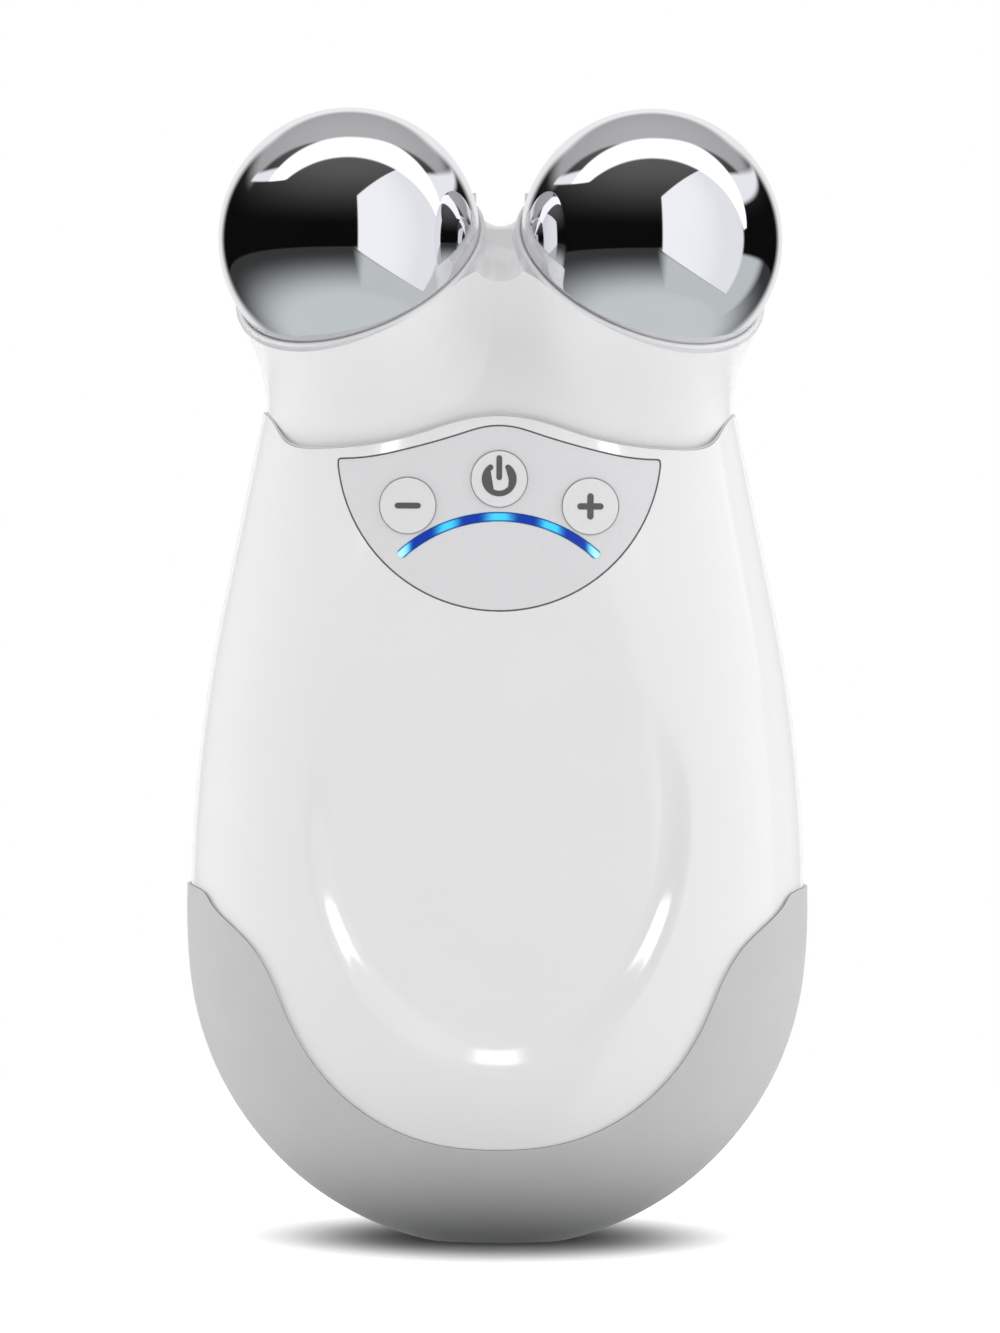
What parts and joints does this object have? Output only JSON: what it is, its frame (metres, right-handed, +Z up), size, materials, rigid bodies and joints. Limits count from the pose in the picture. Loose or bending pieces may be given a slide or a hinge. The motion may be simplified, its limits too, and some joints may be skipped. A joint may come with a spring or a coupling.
{
  "type": "facial toning device",
  "caption": "Hand-held facial toning device: egg-shaped body with a soft grey grip and button panel, and a pull-off head with two polished metal spheres.",
  "frame": {"origin": "centre of the flat patch under the grip on which the device stands", "axes": "+Z up along the body, +X to the right seen from the front, the control panel and the spheres face -Y"},
  "size_m": [0.0772, 0.0477, 0.14],
  "materials": {
    "body_white": "gloss white moulded housing",
    "grip_grey": "matt soft-touch grey",
    "panel_silver": "satin light grey plate",
    "button_white": "satin white caps",
    "plunger_black": "black nylon",
    "light_blue": "clear light guide lit blue from behind",
    "led_blue": "blue light-emitting diode packages",
    "chrome": "mirror-polished nickel and chrome plate",
    "seal_grey": "light grey seal ring",
    "board_green": "green solder mask",
    "chip_black": "moulded black packages",
    "coil_grey": "ferrite coil body",
    "screw_steel": "zinc-plated steel screws",
    "cell_sleeve": "shrink-sleeved steel can",
    "contact_gold": "gold-plated brass contacts",
    "inner_white": "natural white inner moulding"
  },
  "bodies": {
    "body": {"front_housing": "body_white", "back_housing": "body_white", "base_grip": "grip_grey", "control_panel": "panel_silver", "switch_bodies": "chip_black", "light_bar": "light_blue", "leds": "led_blue", "main_board": "board_green", "board_screws": "screw_steel", "board_chips": "chip_black", "boost_coil": "coil_grey", "buzzer": "chip_black", "battery_cell": "cell_sleeve", "battery_contacts": "contact_gold", "battery_holder": "inner_white", "charging_contacts": "contact_gold", "charge_board": "board_green", "charge_board_screw": "screw_steel", "head_socket": "inner_white", "contact_sleeves": "contact_gold", "socket_screws": "screw_steel", "case_screws": "screw_steel"},
    "head": {"head_shell": "body_white", "head_base": "inner_white", "head_screws": "screw_steel", "contact_pins": "contact_gold", "left_ball": "chrome", "right_ball": "chrome", "left_seal": "seal_grey", "right_seal": "seal_grey", "ball_screws": "screw_steel", "contact_straps": "contact_gold"},
    "power_button": {"power_button": "button_white"},
    "power_plunger": {"power_plunger": "plunger_black"},
    "minus_button": {"minus_button": "button_white"},
    "minus_plunger": {"minus_plunger": "plunger_black"},
    "plus_button": {"plus_button": "button_white"},
    "plus_plunger": {"plus_plunger": "plunger_black"}
  },
  "joints": [
    {"name": "head_release", "type": "slide", "parent": "body", "child": "head", "axis": [0, 0, 1], "range_m": [0, 0.016]},
    {"name": "power_press", "type": "slide", "parent": "body", "child": "power_button", "axis": [0, 1, 0], "range_m": [0, 0.0005], "stiffness_N_per_m": 600},
    {"name": "power_plunge", "type": "slide", "parent": "body", "child": "power_plunger", "axis": [0, 1, 0], "range_m": [0, 0.0005]},
    {"name": "minus_press", "type": "slide", "parent": "body", "child": "minus_button", "axis": [0, 1, 0], "range_m": [0, 0.0005], "stiffness_N_per_m": 600},
    {"name": "minus_plunge", "type": "slide", "parent": "body", "child": "minus_plunger", "axis": [0, 1, 0], "range_m": [0, 0.0005]},
    {"name": "plus_press", "type": "slide", "parent": "body", "child": "plus_button", "axis": [0, 1, 0], "range_m": [0, 0.0005], "stiffness_N_per_m": 600},
    {"name": "plus_plunge", "type": "slide", "parent": "body", "child": "plus_plunger", "axis": [0, 1, 0], "range_m": [0, 0.0005]}
  ],
  "couplings": [
    {"joint": "power_plunge", "follows": "power_press", "ratio": 1},
    {"joint": "minus_plunge", "follows": "minus_press", "ratio": 1},
    {"joint": "plus_plunge", "follows": "plus_press", "ratio": 1}
  ]
}
